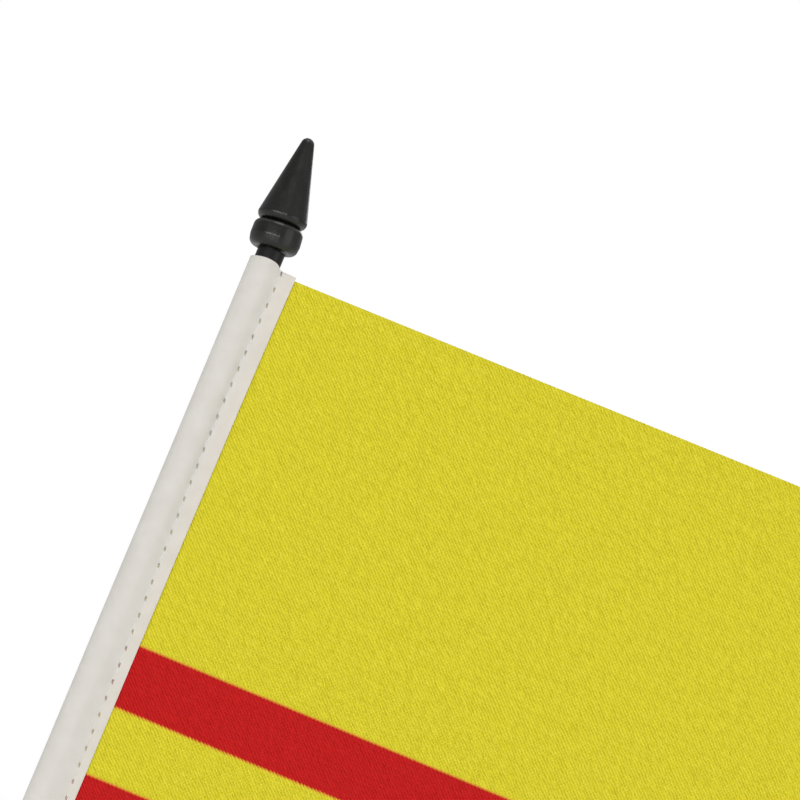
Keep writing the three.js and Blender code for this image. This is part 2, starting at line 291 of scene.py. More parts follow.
class Recipe:
    """A material's node tree, with a short way to add each kind of step."""

    def __init__(self, name: str) -> None:
        """Starts a material that holds one Principled shader."""
        self.material = bpy.data.materials.new(name)
        self.material.use_nodes = True
        self.tree = self.material.node_tree
        self.shader = self.tree.nodes["Principled BSDF"]

    def node(self, kind: str, inputs: dict | None = None, **settings: object) -> bpy.types.Node:
        """Adds a node.

        Args:
            kind: the node's type name, without its ShaderNode prefix.
            inputs: values or sockets for its inputs, by name or number.
            settings: properties of the node itself.

        Returns:
            The node.
        """
        made = self.tree.nodes.new("ShaderNode" + kind)
        for key, value in settings.items():
            setattr(made, key, value)
        for key, value in (inputs or {}).items():
            self.feed(made.inputs[key], value)
        return made

    def feed(self, socket: Socket, value: object) -> None:
        """Links a socket to another, or sets its value, with an alpha of 1 for a plain colour."""
        if isinstance(value, Socket):
            self.tree.links.new(value, socket)
        elif socket.type == "RGBA":
            socket.default_value = (*value, 1.0)
        else:
            socket.default_value = value

    def place(self) -> Socket:
        """The point on the piece, in metres."""
        return self.node("TexCoord").outputs["Object"]

    def flat(self) -> Socket:
        """The point on the piece's own flat map."""
        return self.node("UVMap", uv_map="flat").outputs["UV"]

    def parts(self, vector: Socket) -> tuple[Socket, ...]:
        """The three numbers of a vector."""
        return tuple(self.node("SeparateXYZ", {0: vector}).outputs)

    def joined(self, first: object, second: object, third: object) -> Socket:
        """The vector of three numbers."""
        return self.node("CombineXYZ", {0: first, 1: second, 2: third}).outputs[0]

    def scaled(self, vector: Socket, scale: Triple) -> Socket:
        """A vector with each number times a scale."""
        return self.node("VectorMath", {0: vector, 1: scale}, operation="MULTIPLY").outputs[0]

    def math(self, operation: str, first: object, second: object = 0.0, third: object = 0.0) -> Socket:
        """One step of arithmetic on up to three numbers or sockets."""
        return self.node("Math", {0: first, 1: second, 2: third}, operation=operation).outputs[0]

    def total(self, *terms: tuple[Socket, float]) -> Socket:
        """Sum of the terms, each a socket times its share."""
        result = 0.0
        for value, share in terms:
            result = self.math("MULTIPLY_ADD", value, share, result)
        return result

    def noise(self, vector: Socket, scale: float, detail: float = 2.0, roughness: float = 0.5) -> Socket:
        """Smooth noise from 0 to 1, with scale waves to a unit of the vector."""
        inputs = {"Vector": vector, "Scale": scale, "Detail": detail, "Roughness": roughness}
        return self.node("TexNoise", inputs).outputs[0]

    def drift(self, vector: Socket, scale: float, detail: float = 2.0, roughness: float = 0.5) -> Socket:
        """The same noise about zero, from -0.5 to 0.5."""
        return self.math("SUBTRACT", self.noise(vector, scale, detail, roughness), 0.5)

    def cells(self, vector: Socket, scale: float, output: str) -> Socket:
        """The distance or the colour of a pattern of cells, scale of them to a unit of the vector."""
        return self.node("TexVoronoi", {"Vector": vector, "Scale": scale}).outputs[output]

    def ramp(self, value: object, low: float, high: float, to_low: float = 0.0,
             to_high: float = 1.0) -> Socket:
        """Maps low..high to to_low..to_high, clamped."""
        inputs = {"Value": value, "From Min": low, "From Max": high, "To Min": to_low, "To Max": to_high}
        return self.node("MapRange", inputs).outputs[0]

    def spread(self, noise: Socket, to_low: float = 0.0, to_high: float = 1.0) -> Socket:
        """Noise, which mostly lies from 0.3 to 0.7, spread over a range."""
        return self.ramp(noise, 0.3, 0.7, to_low, to_high)

    def wave(self, cycles: object) -> Socket:
        """Half the sine of a number of cycles, from -0.5 to 0.5."""
        return self.math("MULTIPLY", self.math("SINE", self.math("MULTIPLY", cycles, TURN)), 0.5)

    def blend(self, factor: object, first: object, second: object) -> Socket:
        """Colour from first to second as factor goes from 0 to 1."""
        made = self.node("Mix", {0: factor}, data_type="RGBA")
        self.feed(made.inputs[6], first)
        self.feed(made.inputs[7], second)
        return made.outputs[2]

    def bump(self, height: object, depth: float, strength: float = 1.0) -> None:
        """Gives the shader a bump of that depth in metres."""
        made = self.node("Bump", {"Height": height, "Distance": depth, "Strength": strength})
        self.feed(self.shader.inputs["Normal"], made.outputs[0])

    def finish(self, **inputs: object) -> bpy.types.Material:
        """Sets the shader's inputs, with underscores for spaces in their names, and gives the material."""
        for key, value in inputs.items():
            self.feed(self.shader.inputs[key.replace("_", " ")], value)
        return self.material


def linear(red: int, green: int, blue: int) -> Colour:
    """A colour of three screen values, 0 to 255, as the linear light that shaders take."""
    share = np.array([red, green, blue]) / 255.0
    light = np.where(share <= 0.04045, share / 12.92, ((share + 0.055) / 1.055) ** 2.4)
    return tuple(float(x) for x in light)


def tinted(colour: Colour, cast: Colour) -> Colour:
    """A colour with each of its parts times a cast's, and 1 at most."""
    return tuple(min(1.0, part * share) for part, share in zip(colour, cast))


def toned(colour: Colour, share: float) -> Colour:
    """A colour made darker or lighter, with each part times the same share."""
    return tinted(colour, (share, share, share))


@dataclass(frozen=True)
class MouldedPlastic:
    """Satin plastic from a mould: fine grain, slow mottling and, on slim parts, lengthwise streaks.

    A scuff is how much paler the rubbed marks are. Without a streak or a scuff there are none.
    """

    name: str
    colour: Colour
    roughness: float = 0.4
    shine: float = 0.5
    grain: float = 0.12 * MM
    grain_depth: float = 0.004 * MM
    mottle: float = 4.0 * MM
    mottle_share: float = 0.14
    streak: float = 0.0
    streak_depth: float = 0.006 * MM
    streak_squash: float = 0.06
    scuff: float = 0.0
    scuff_size: float = 0.9 * MM
    scuff_squash: float = 0.45

    def make(self) -> bpy.types.Material:
        """Builds the material."""
        mix = Recipe(self.name)
        place = mix.place()
        height = mix.noise(place, 1.0 / self.grain, 3.0, 0.6)
        if self.streak > 0.0:
            drawn = mix.scaled(place, (1.0, 1.0, self.streak_squash))
            streaks = mix.noise(drawn, 1.0 / self.streak)
            height = mix.math("MULTIPLY_ADD", streaks, self.streak_depth / self.grain_depth, height)
        mix.bump(height, self.grain_depth)
        mottle = mix.spread(mix.noise(place, 1.0 / self.mottle))
        darker = toned(self.colour, 1.0 - self.mottle_share)
        lighter = toned(self.colour, 1.0 + self.mottle_share)
        colour = mix.blend(mottle, darker, lighter)
        rough = mix.ramp(mottle, 0.0, 1.0, self.roughness - 0.04, self.roughness + 0.05)
        if self.scuff > 0.0:
            worn = mix.scaled(place, (1.0, 1.0, self.scuff_squash))
            marks = mix.ramp(mix.noise(worn, 1.0 / self.scuff_size, 3.0, 0.6), 0.5, 0.72)
            colour = mix.blend(marks, colour, tuple(part + self.scuff for part in self.colour))
            rough = mix.math("MULTIPLY_ADD", marks, 0.05, rough)
        return mix.finish(Base_Color=colour, Roughness=rough, IOR=1.5, Specular_IOR_Level=self.shine)


@dataclass(frozen=True)
class Foam:
    """Closed-cell foam with a skin of small open pits."""

    name: str
    colour: Colour
    cell: float = 0.35 * MM
    pit_depth: float = 0.05 * MM

    def make(self) -> bpy.types.Material:
        """Builds the material."""
        mix = Recipe(self.name)
        from_pit = mix.cells(mix.place(), 1.0 / self.cell, "Distance")
        mix.bump(mix.ramp(from_pit, 0.0, 0.6), self.pit_depth, 0.7)
        # Painted shade: the foam is darker inside its pits, most of all at their middles.
        colour = mix.blend(mix.ramp(from_pit, 0.1, 0.45), toned(self.colour, 0.4), self.colour)
        return mix.finish(Base_Color=colour, Roughness=0.92, IOR=1.45)


@dataclass(frozen=True)
class PlatedSteel:
    """Stamped steel with a dull zinc coat: faint spangle and fine rolling lines."""

    name: str
    colour: Colour
    spangle: float = 2.5 * MM
    rolling: Triple = (200.0, 6000.0, 6000.0)
    line_depth: float = 0.004 * MM

    def make(self) -> bpy.types.Material:
        """Builds the material."""
        mix = Recipe(self.name)
        place = mix.place()
        mix.bump(mix.noise(mix.scaled(place, self.rolling), 1.0), self.line_depth)
        tone = mix.parts(mix.cells(place, 1.0 / self.spangle, "Color"))[0]
        colour = mix.blend(tone, toned(self.colour, 0.85), self.colour)
        return mix.finish(Base_Color=colour, Roughness=mix.ramp(tone, 0.0, 1.0, 0.32, 0.46), Metallic=1.0)


@dataclass(frozen=True)
class WovenTape:
    """Off-white ribbon tape in a close plain weave, matt, with soft mottling, warmer over the cloth.

    Warp and weft are the millimetres from one yarn to the next. Past cloth_from, a distance from the
    staff's axis, the cloth lies under the tape, and by cloth_full it shows through with its whole cast.
    """

    name: str
    colour: Colour
    shadow: Colour = (0.95, 0.955, 0.93)
    over_cloth: Colour = (1.01, 0.985, 0.945)
    cloth_from: float = 2.0 * MM
    cloth_full: float = 2.8 * MM
    warp: float = 0.24
    weft: float = 0.3
    relief: float = 0.012 * MM

    def make(self) -> bpy.types.Material:
        """Builds the material. Its flat map is in millimetres: across, then along the tape."""
        mix = Recipe(self.name)
        flat = mix.flat()
        across, along, _ = mix.parts(flat)
        drift = mix.drift(flat, 0.8, 3.0)
        warp = mix.wave(mix.math("MULTIPLY_ADD", across, 1.0 / self.warp, drift))
        weft = mix.wave(mix.math("MULTIPLY_ADD", along, 1.0 / self.weft, drift))
        fuzz = mix.noise(flat, 9.0, 4.0, 0.65)
        mix.bump(mix.math("MULTIPLY_ADD", mix.math("MULTIPLY", warp, weft), 0.8, fuzz), self.relief, 0.8)
        mottle = mix.math("MULTIPLY_ADD", fuzz, 0.3, mix.noise(flat, 0.35, 4.0, 0.6))
        dull, pale = tinted(self.colour, self.shadow), toned(self.colour, 1.04)
        colour = mix.blend(mix.ramp(mottle, 0.4, 0.9), dull, pale)
        covering = mix.ramp(mix.parts(mix.place())[0], self.cloth_from, self.cloth_full)
        colour = mix.blend(covering, colour, mix.scaled(colour, self.over_cloth))
        return mix.finish(Base_Color=colour, Roughness=0.88, IOR=1.45, Sheen_Weight=0.12, Sheen_Roughness=0.4)


@dataclass(frozen=True)
class SewingThread:
    """Twisted polyester thread of two plies."""

    name: str
    colour: Colour
    plies: float = 2.0
    twist: float = 0.35 * MM
    relief: float = 0.02 * MM

    def make(self) -> bpy.types.Material:
        """Builds the material. Its flat map is turns round the strand, then metres along it."""
        mix = Recipe(self.name)
        around, along, _ = mix.parts(mix.flat())
        ply = mix.wave(mix.total((around, self.plies), (along, 1.0 / self.twist)))
        mix.bump(ply, self.relief, 0.8)
        # Painted shade: the thread is darker in the grooves between its plies.
        colour = mix.blend(mix.ramp(ply, -0.5, 0.5), toned(self.colour, 0.86), self.colour)
        return mix.finish(Base_Color=colour, Roughness=0.55, IOR=1.5, Sheen_Weight=0.2)


@dataclass(frozen=True)
class PrintedCloth:
    """Polyester with a fine diagonal rib, printed right through with stripes that bleed a little.

    The flat map, the bands and what frays or bleeds at their edges are in millimetres. The two numbers
    of a rib are its cycles to the millimetre across and down. The shade range is painted shade in the
    weave's hollows and painted light on its crests, mixed with random mottle, and the sheen is a painted
    white highlight on the crests, weaker on a stripe.
    """

    name: str
    ground: Colour
    stripe: Colour
    bleed: Colour
    bands: tuple[tuple[float, float], ...]
    rib: tuple[float, float] = (1.99, 2.04)
    cross: tuple[float, float] = (2.01, 1.98)
    course: float = 1.53
    wander: float = 1.1
    yarn_stretch: float = 0.3
    course_share: float = 0.2
    cross_share: float = 0.32
    yarn_share: float = 1.9
    slub_share: float = 0.5
    relief: float = 0.075 * MM
    fray_by_rib: float = 0.11
    fray_by_yarn: float = 0.14
    bleed_reach: float = 0.34
    bleed_share: float = 0.75
    print_edge: tuple[float, float] = (-0.11, 0.13)
    # Painted shade and light: how dark the weave's hollows and how light its crests are painted, with random
    # mottle.
    painted_shade_and_mottle: tuple[float, float] = (0.765, 1.185)
    mottle: float = 0.05
    # Painted sheen: white painted on the crests as a highlight, and how much of it a stripe loses.
    painted_sheen: float = 0.062
    painted_sheen_lost_on_print: float = 0.72

    def weave(self, mix: Recipe, flat: Socket, across: Socket, down: Socket) -> tuple[Socket, Socket, Socket]:
        """The cloth's relief: a main rib, a crossing rib, level courses, uneven yarns and long slubs.

        A rib is a sine of across times its first number plus or less down times its second, plus a
        slow wander that keeps it from being a ruled line. Yarns and slubs are noise drawn out along
        the main rib.

        Args:
            mix: the recipe being built.
            flat: the flat map.
            across: millimetres from the hoist.
            down: millimetres below the top edge.

        Returns:
            The whole relief, the main rib and the yarns.
        """
        wander = mix.math("MULTIPLY", mix.drift(flat, 0.9, 3.0), self.wander)
        falling = mix.total((across, self.rib[0]), (down, -self.rib[1]), (wander, 1.0))
        rising = mix.total((across, self.cross[0]), (down, self.cross[1]), (wander, 1.0))
        level = mix.total((down, self.course), (wander, 1.0))
        rib, cross, course = (mix.wave(cycles) for cycles in (falling, rising, level))
        run = mix.total((across, self.rib[1]), (down, self.rib[0]))
        drawn_out = mix.joined(falling, mix.math("MULTIPLY", run, self.yarn_stretch), 0.0)
        yarn = mix.drift(drawn_out, 1.0, 3.0, 0.7)
        slub = mix.drift(drawn_out, 0.42)
        woven = mix.total((rib, 1.0), (course, self.course_share), (cross, self.cross_share))
        uneven = mix.math("MULTIPLY_ADD", yarn, self.yarn_share, woven)
        return mix.math("MULTIPLY_ADD", slub, self.slub_share, uneven), rib, yarn

    def inside(self, mix: Recipe, height: Socket) -> Socket:
        """How deep a place lies in a stripe: half the stripe's width less the distance from its middle.

        Args:
            mix: the recipe being built.
            height: millimetres below the top edge.

        Returns:
            The depth in the nearest stripe, below zero outside them all.
        """
        deepest = None
        for top, bottom in self.bands:
            away = mix.math("ABSOLUTE", mix.math("SUBTRACT", height, (top + bottom) / 2.0))
            depth = mix.math("SUBTRACT", (bottom - top) / 2.0, away)
            deepest = depth if deepest is None else mix.math("MAXIMUM", deepest, depth)
        return deepest

    def make(self) -> bpy.types.Material:
        """Builds the material. Its flat map is from the hoist, then below the top edge."""
        mix = Recipe(self.name)
        flat = mix.flat()
        across, down, _ = mix.parts(flat)
        relief, rib, yarn = self.weave(mix, flat, across, down)
        mix.bump(relief, self.relief)
        inside = self.inside(mix, mix.total((yarn, self.fray_by_yarn), (rib, self.fray_by_rib), (down, 1.0)))
        soaked = mix.ramp(inside, -self.bleed_reach, -0.02, 0.0, self.bleed_share)
        printed = mix.ramp(inside, *self.print_edge)
        dyed = mix.blend(printed, mix.blend(soaked, self.ground, self.bleed), self.stripe)
        mottle = mix.spread(mix.noise(flat, 0.5, 5.0, 0.65), -self.mottle, self.mottle)
        # Painted shade: darker in the weave's hollows and lighter on its crests, with random mottle mixed in.
        painted_shade_and_mottle = mix.ramp(mix.math("ADD", relief, mottle), -1.2, 1.2, *self.painted_shade_and_mottle)
        # Painted sheen: a white highlight added on the crests, weaker where the stripes are printed.
        painted_sheen_kept = mix.math("MULTIPLY_ADD", printed, -self.painted_sheen_lost_on_print, 1.0)
        pale = mix.math("MULTIPLY", mix.ramp(relief, -1.0, 1.3, 0.0, self.painted_sheen), painted_sheen_kept)
        inputs = {0: dyed, 1: mix.joined(painted_shade_and_mottle, painted_shade_and_mottle, painted_shade_and_mottle), 2: mix.joined(pale, pale, pale)}
        colour = mix.node("VectorMath", inputs, operation="MULTIPLY_ADD").outputs[0]
        return mix.finish(Base_Color=colour, Roughness=0.8, IOR=1.45, Specular_IOR_Level=0.22,
                          Sheen_Weight=0.02, Sheen_Roughness=0.5)


@dataclass(frozen=True)
class Palette:
    """The colours of the stand's finishes."""

    finial: Colour = linear(14, 14, 12)
    staff: Colour = linear(20, 20, 20)
    base: Colour = linear(24, 24, 24)
    cover: Colour = linear(56, 56, 58)
    foam: Colour = linear(30, 30, 31)
    zinc: Colour = linear(168, 172, 176)
    tape: Colour = linear(220, 216, 211)
    thread: Colour = linear(238, 236, 230)
    yellow: Colour = linear(222, 210, 0)
    red: Colour = linear(199, 0, 0)
    bleed: Colour = linear(230, 140, 26)
    floor: Colour = linear(236, 236, 234)


PALETTE = Palette()


# ---------------------------------------------------------------- base


@dataclass
class WeightedBase:
    """Round moulded foot with a socket, closed below by a cover and a foam pad, and weighted inside."""

    wall: float = 2.0 * MM
    rim_wall: float = 3.0 * MM
    rim_height: float = 5.2 * MM
    rim_round: float = 1.3 * MM
    step_in: float = 1.2 * MM
    bead_round: float = 0.25 * MM
    bead_out: float = 0.45 * MM
    dome_rise: float = 8.2 * MM
    boss_wall: float = 3.7 * MM
    boss_fillet: float = 4.0 * MM
    boss_round: float = 1.2 * MM
    socket_play: float = 0.06 * MM
    socket_wall: float = 2.2 * MM
    socket_lead_in: float = 0.35 * MM
    socket_floor: float = 1.6 * MM
    gap: float = 0.05 * MM
    cover_ledge: float = 2.4 * MM
    edge_round: float = 0.4 * MM
    ribs: int = 6
    rib_half: float = 0.8 * MM
    rib_into_wall: float = 1.0 * MM
    rib_short: float = 4.6 * MM
    rib_clear: float = 0.1 * MM
    ballast_play: float = 1.6 * MM
    sides: int = 192

    def __post_init__(self) -> None:
        """Reads the base's place from the frame."""
        low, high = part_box("base_shell")
        self.outer, self.foot_z, self.top = high.x, low.z, high.z
        self.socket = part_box("staff")[1].x + self.socket_play
        self.tube = self.socket + self.socket_wall
        self.recess = self.outer - self.rim_wall
        self.cavity = self.recess - self.cover_ledge
        self.rim_top = self.foot_z + self.rim_height
        self.dome_foot = self.outer - self.step_in - self.rim_round
        self.crown = self.rim_top + self.rim_round + self.dome_rise

    def dome(self, start: float, end: float, drop: float, steps: int) -> np.ndarray:
        """The dome's section: a parabola, height = crown less rise * (r / foot radius) squared.

        Args:
            start: first radius.
            end: last radius.
            drop: how far the line lies below the outer face.
            steps: number of pieces.

        Returns:
            (radius, height) points.
        """
        radius = np.linspace(start, end, steps + 1)
        return np.column_stack([radius, self.crown - self.dome_rise * (radius / self.dome_foot) ** 2 - drop])

    def shell(self) -> Surface:
        """Section of the shell: socket floor, hollow underside, rim, ledge, dome, boss and socket."""
        floor_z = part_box("staff")[0].z - self.gap
        floor_under = floor_z - self.socket_floor
        ledge_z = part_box("base_cover")[1].z + self.gap
        boss = self.socket + self.boss_wall
        fillet_r = boss + self.boss_fillet
        fillet_z = self.dome(fillet_r, fillet_r, 0.0, 0)[0, 1] + self.boss_fillet
        shoulder_z = self.rim_top + self.rim_round
        soft, lead = self.edge_round, self.socket_lead_in
        section = outline(
            [[0.0, floor_under], [self.tube - soft, floor_under]],
            arc((self.tube - soft, floor_under + soft), soft, -90, 0, 4),
            self.dome(self.tube, self.cavity, self.wall, 24),
            [[self.cavity, ledge_z], [self.recess, ledge_z], [self.recess, self.foot_z + soft]],
            arc((self.recess + soft, self.foot_z + soft), soft, 180, 270, 4),
            arc((self.outer - soft, self.foot_z + soft), soft, -90, 0, 6),
            arc((self.outer - self.rim_round, self.rim_top), self.rim_round, 0, 90, 12),
            arc((self.dome_foot + self.bead_out, shoulder_z + self.bead_round), self.bead_round, 270, 180, 4),
            self.dome(self.dome_foot, fillet_r, 0.0, 40),
            arc((fillet_r, fillet_z), self.boss_fillet, 270, 180, 14)[1:],
            arc((boss - self.boss_round, self.top - self.boss_round), self.boss_round, 0, 90, 8),
            arc((self.socket + lead, self.top - lead), lead, 90, 180, 5),
            [[self.socket, floor_z], [0.0, floor_z]],
        )
        return revolved(section, self.sides)

    def rib(self, turn: float) -> Surface:
        """One stiffening rib under the dome: a thin web from the socket's tube to near the wall."""
        inner, reach = self.tube - self.rib_into_wall, self.cavity - self.rib_short
        roof = self.dome(inner, reach, self.wall - self.rib_into_wall, 12)
        sole = roof.copy()
        sole[:, 1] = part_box("ballast_plate")[1].z + self.rib_clear
        half = self.rib_half
        lines = [np.column_stack([line[:, 0], np.full(len(line), y), line[:, 1]])
                 for line, y in ((roof, -half), (roof, half), (sole, half), (sole, -half))]
        rings = np.stack(lines, axis=1)
        web = capped(rings, rings[0].mean(axis=0), rings[-1].mean(axis=0))
        return web.moved(Matrix.Rotation(turn, 4, "Z"))

    def disc(self, node: str, edge: float, hole: float = 0.0) -> Surface:
        """A flat disc that fills a node's box, with rounded edges and, where hole is set, a ring."""
        low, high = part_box(node)
        rim = high.x - edge
        section = outline(
            [[hole, low.z]],
            arc((rim, low.z + edge), edge, -90, 0, 5),
            arc((rim, high.z - edge), edge, 0, 90, 5),
            [[hole, high.z]],
        )
        return revolved(section, self.sides, Edge.RING if hole > 0.0 else Edge.OPEN_ON_AXIS)

    def build(self) -> None:
        """Makes the shell with its ribs, the cover, the ballast and the pad."""
        body = self.shell()
        for k in range(self.ribs):
            body = body.joined(self.rib(TURN * (k + 0.5) / self.ribs))
        black = MouldedPlastic("base_black", PALETTE.base, 0.36, grain=0.3 * MM, grain_depth=0.01 * MM)
        piece("moulded_base", body, black.make(), Body.BASE, "base_shell", 30.0)
        grey = MouldedPlastic("cover_grey", PALETTE.cover, 0.5, grain=0.4 * MM, grain_depth=0.012 * MM)
        zinc = PlatedSteel("zinc_plate", PALETTE.zinc)
        foam = Foam("pad_foam", PALETTE.foam)
        bore = self.tube + self.ballast_play
        for name, node, edge, hole, finish, slot in (
                ("closing_cover", "base_cover", 0.4 * MM, 0.0, grey, "grey_plastic"),
                ("ballast_ring", "ballast_plate", 0.3 * MM, bore, zinc, "steel"),
                ("non_slip_pad", "foot_pad", 0.15 * MM, 0.0, foam, "foam_rubber")):
            piece(name, self.disc(node, edge, hole), finish.make(), Body.BASE, node)


# ---------------------------------------------------------------- staff and finial


@dataclass
class Staff:
    """Drawn plastic tube, open at both ends."""

    wall: float = 0.47 * MM
    edge: float = 0.12 * MM
    sides: int = 96
    rings: int = 60

    def build(self) -> None:
        """Makes the tube: outer face up, rounded mouth, bore down, rounded foot."""
        low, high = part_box("staff")
        outer, bore, soft = high.x, high.x - self.wall, self.edge
        foot, mouth = low.z + soft, high.z - soft
        section = outline(
            arc((outer - soft, foot), soft, -90, 0, 4)[:-1],
            np.column_stack([np.full(self.rings, outer), np.linspace(foot, mouth, self.rings)]),
            arc((outer - soft, mouth), soft, 0, 90, 4)[1:],
            arc((bore + soft, mouth), soft, 90, 180, 4),
            arc((bore + soft, foot), soft, 180, 270, 4),
        )
        drawn = MouldedPlastic("staff_black", PALETTE.staff, 0.34, shine=0.36, grain=0.1 * MM,
                               streak=0.16 * MM)
        tube = revolved(section, self.sides, Edge.RING)
        piece("drawn_staff", tube, drawn.make(), Body.STAFF, "staff")


@dataclass
class Finial:
    """Moulded point: a cone over a collar bead, which sits on the staff's mouth, and a plug-in spigot.

    Its skirt stands a little way round the staff's mouth, and all of it leans.
    """

    lean: float = math.radians(3.9)
    pivot: float = 1.0 * MM
    seat_gap: float = 0.05 * MM
    seat_bevel: float = 0.08 * MM
    seat_radius: float = 1.8 * MM
    proud_of_seat: float = 0.2 * MM
    spigot_length: float = 5.0 * MM
    spigot_radius: float = 0.88 * MM
    spigot_round: float = 0.2 * MM
    skirt: float = 0.22 * MM
    collar_radius: float = 3.18 * MM
    collar_height: float = 3.18 * MM
    collar_foot_in: float = 0.98 * MM
    collar_foot_round: float = 0.88 * MM
    belly: float = 1.2 * MM
    belly_height: float = 1.25 * MM
    belly_lean: float = 0.05 * MM
    collar_head_round: float = 0.9 * MM
    groove_radius: float = 2.44 * MM
    groove_drop: float = 0.03 * MM
    cone_radius: float = 3.12 * MM
    cone_height: float = 11.28 * MM
    cone_foot_round: float = 0.95 * MM
    cone_corner: float = 0.3 * MM
    shoulder: float = 0.9 * MM
    tip_radius: float = 0.84 * MM
    parting_turn: float = math.radians(-82.0)
    parting_width: float = math.radians(1.6)
    parting_height: float = 0.028 * MM
    uneven: float = 0.012 * MM
    uneven_height: float = 2.3 * MM
    sides: int = 224

    def section(self) -> np.ndarray:
        """(radius, height) points from the spigot's end up to the tip. Height 0 is the seat on the staff."""
        soft, foot, corner = self.spigot_round, self.cone_foot_round, self.cone_corner
        low_round, head_round, tip_round = self.collar_foot_round, self.collar_head_round, self.tip_radius
        notch = self.collar_height
        widest = notch + self.shoulder
        head_r = self.collar_radius - self.belly_lean - head_round
        flank = self.cone_height - self.shoulder - tip_round
        slope = math.degrees(math.atan2(self.cone_radius - tip_round, flank))
        line = outline(
            [[0.0, -self.spigot_length]],
            arc((self.spigot_radius - soft, soft - self.spigot_length), soft, -90, 0, 4),
            [[self.spigot_radius, 0.0], [self.seat_radius, 0.0]],
            arc((self.collar_radius - self.collar_foot_in, low_round - self.skirt), low_round, -104, -11, 16),
            arc((self.collar_radius - self.belly, self.belly_height), self.belly, -10, 0, 6),
            arc((head_r, notch - head_round), head_round, 3, 68, 14),
            [[self.groove_radius, notch - self.groove_drop]],
            arc((self.cone_radius - foot, widest), foot, -66, -4, 14)[:-1],
            arc((self.cone_radius - corner, widest), corner, -4, slope, 5),
            arc((0.0, notch + self.cone_height - tip_round), tip_round, slope, 90, 14),
        )
        line[-1, 0] = 0.0
        return self.refined(line)

    @staticmethod
    def refined(line: np.ndarray, step: float = 0.25 * MM, clearance: float = 0.4) -> np.ndarray:
        """The same line with its long stretches cut into even steps.

        Args:
            line: (radius, height) points.
            step: distance between the new points.
            clearance: share of a step that a new point keeps from the old ones.

        Returns:
            The old and the new points in order.
        """
        length = run_length(line)
        even = np.arange(0.0, length[-1], step)
        clear = even[np.abs(even[:, None] - length[None]).min(axis=1) > clearance * step]
        places = np.sort(np.concatenate([length, clear]))
        return np.column_stack([np.interp(places, length, line[:, k]) for k in range(2)])

    def swell(self, line: np.ndarray) -> np.ndarray:
        """Extra radius above the seat: a fine mould line on two sides, and a slow unevenness.

        Each mould line is height * exp(-(angle from it / width) squared).

        Args:
            line: (radius, height) points of the section.

        Returns:
            Array of shape (sides, points).
        """
        angle = np.linspace(0.0, TURN, self.sides, endpoint=False)
        parting = np.zeros(self.sides)
        for turn in (self.parting_turn, self.parting_turn + math.pi):
            away = (angle - turn + math.pi) % TURN - math.pi
            parting += np.exp(-((away / self.parting_width) ** 2))
        radius, height = line.T
        uneven = self.uneven * np.sin(3.0 * angle)[:, None] * np.sin(height / self.uneven_height)[None]
        proud = (radius > self.seat_radius + self.proud_of_seat) | (height > self.collar_height)
        return (self.parting_height * parting[:, None] + uneven) * proud[None]

    def build(self) -> None:
        """Makes the finial, leaning about a place on its spigot just inside the staff's mouth."""
        line = self.section()
        seat = (self.seat_radius - self.seat_bevel) * math.sin(self.lean) + self.seat_gap
        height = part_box("staff")[1].z + seat - self.pivot * math.cos(self.lean)
        up, down = (Matrix.Translation((0.0, 0.0, shift)) for shift in (height, self.pivot))
        stance = up @ Matrix.Rotation(-self.lean, 4, "Y") @ down
        body = revolved(line, self.sides, swell=self.swell(line)).moved(stance)
        satin = MouldedPlastic("finial_black", PALETTE.finial, 0.25, grain=0.09 * MM, streak=0.22 * MM,
                               streak_depth=0.008 * MM, scuff=0.005)
        piece("pointed_finial", body, satin.make(), Body.FINIAL, "finial", 40.0)


# ---------------------------------------------------------------- flag


@dataclass
class Seam:
    """The line of lockstitch that closes the sleeve: where it runs and where its needle holes are."""

    pitch: float = 2.18 * MM
    first: float = 0.37 * MM
    mean: float = 2.2 * MM
    sway: float = 0.48 * MM
    sway_length: float = 111.0 * MM
    short_sway: float = 0.073 * MM
    short_length: float = 42.0 * MM
    closest: float = 21.0 * MM
    hole_length: float = 0.62 * MM
    hole_width: float = 0.24 * MM
    hole_slant: float = 0.16
    hole_reach: float = 0.58
    hole_rim: float = 0.04 * MM
    between_holes: float = 0.75
    nearer_column: float = 0.19 * MM
    farther_columns: tuple[float, float] = (0.2 * MM, 0.34 * MM)

    def across(self, below: np.ndarray) -> np.ndarray:
        """X of the seam: a long sway, plus a short one, about its mean distance from the staff's axis.

        Args:
            below: distances below the tape's top.

        Returns:
            mean - sway * cos(long phase) + short_sway * (1 - cos(short phase)).
        """
        phase = TURN * (below - self.closest)
        short = 1.0 - np.cos(phase / self.short_length)
        return self.mean - self.sway * np.cos(phase / self.sway_length) + self.short_sway * short

    def holes(self, length: float) -> np.ndarray:
        """Distances of the needle holes below the tape's top."""
        return np.arange(self.first, length - self.first, self.pitch)

    def since(self, below: np.ndarray) -> np.ndarray:
        """Distance of each place from the nearest hole, along the seam."""
        return (below - self.first + self.pitch / 2.0) % self.pitch - self.pitch / 2.0

    def pull(self, below: np.ndarray) -> np.ndarray:
        """How hard the thread draws the tape in: 0.45 + 0.55 * cos(phase), so 1 at each hole."""
        return 0.45 + 0.55 * np.cos(TURN * (below - self.first) / self.pitch)

    def columns(self, below: np.ndarray) -> np.ndarray:
        """Columns of the tape's grid beside the seam, which follow the rims of the holes.

        A hole's half width is width / 2 * root(1 - (distance along / reach) squared).

        Args:
            below: distances below the tape's top.

        Returns:
            Distances from the seam, shape (rows, 7), slanted in the holes.
        """
        along = self.since(below)
        inside = np.clip(1.0 - (along / (self.hole_reach * self.hole_length)) ** 2, 0.0, 1.0)
        half = self.hole_width / 2.0 * np.where(inside > 0.0, np.sqrt(inside), self.between_holes)
        still = np.zeros_like(half)
        nearer = [still - self.nearer_column, -half - self.hole_rim, -half]
        farther = [half, half + self.hole_rim, *(still + away for away in self.farther_columns)]
        slant = self.hole_slant * along * (inside > 0.0)
        return np.stack(nearer + farther, axis=1) + slant[:, None]


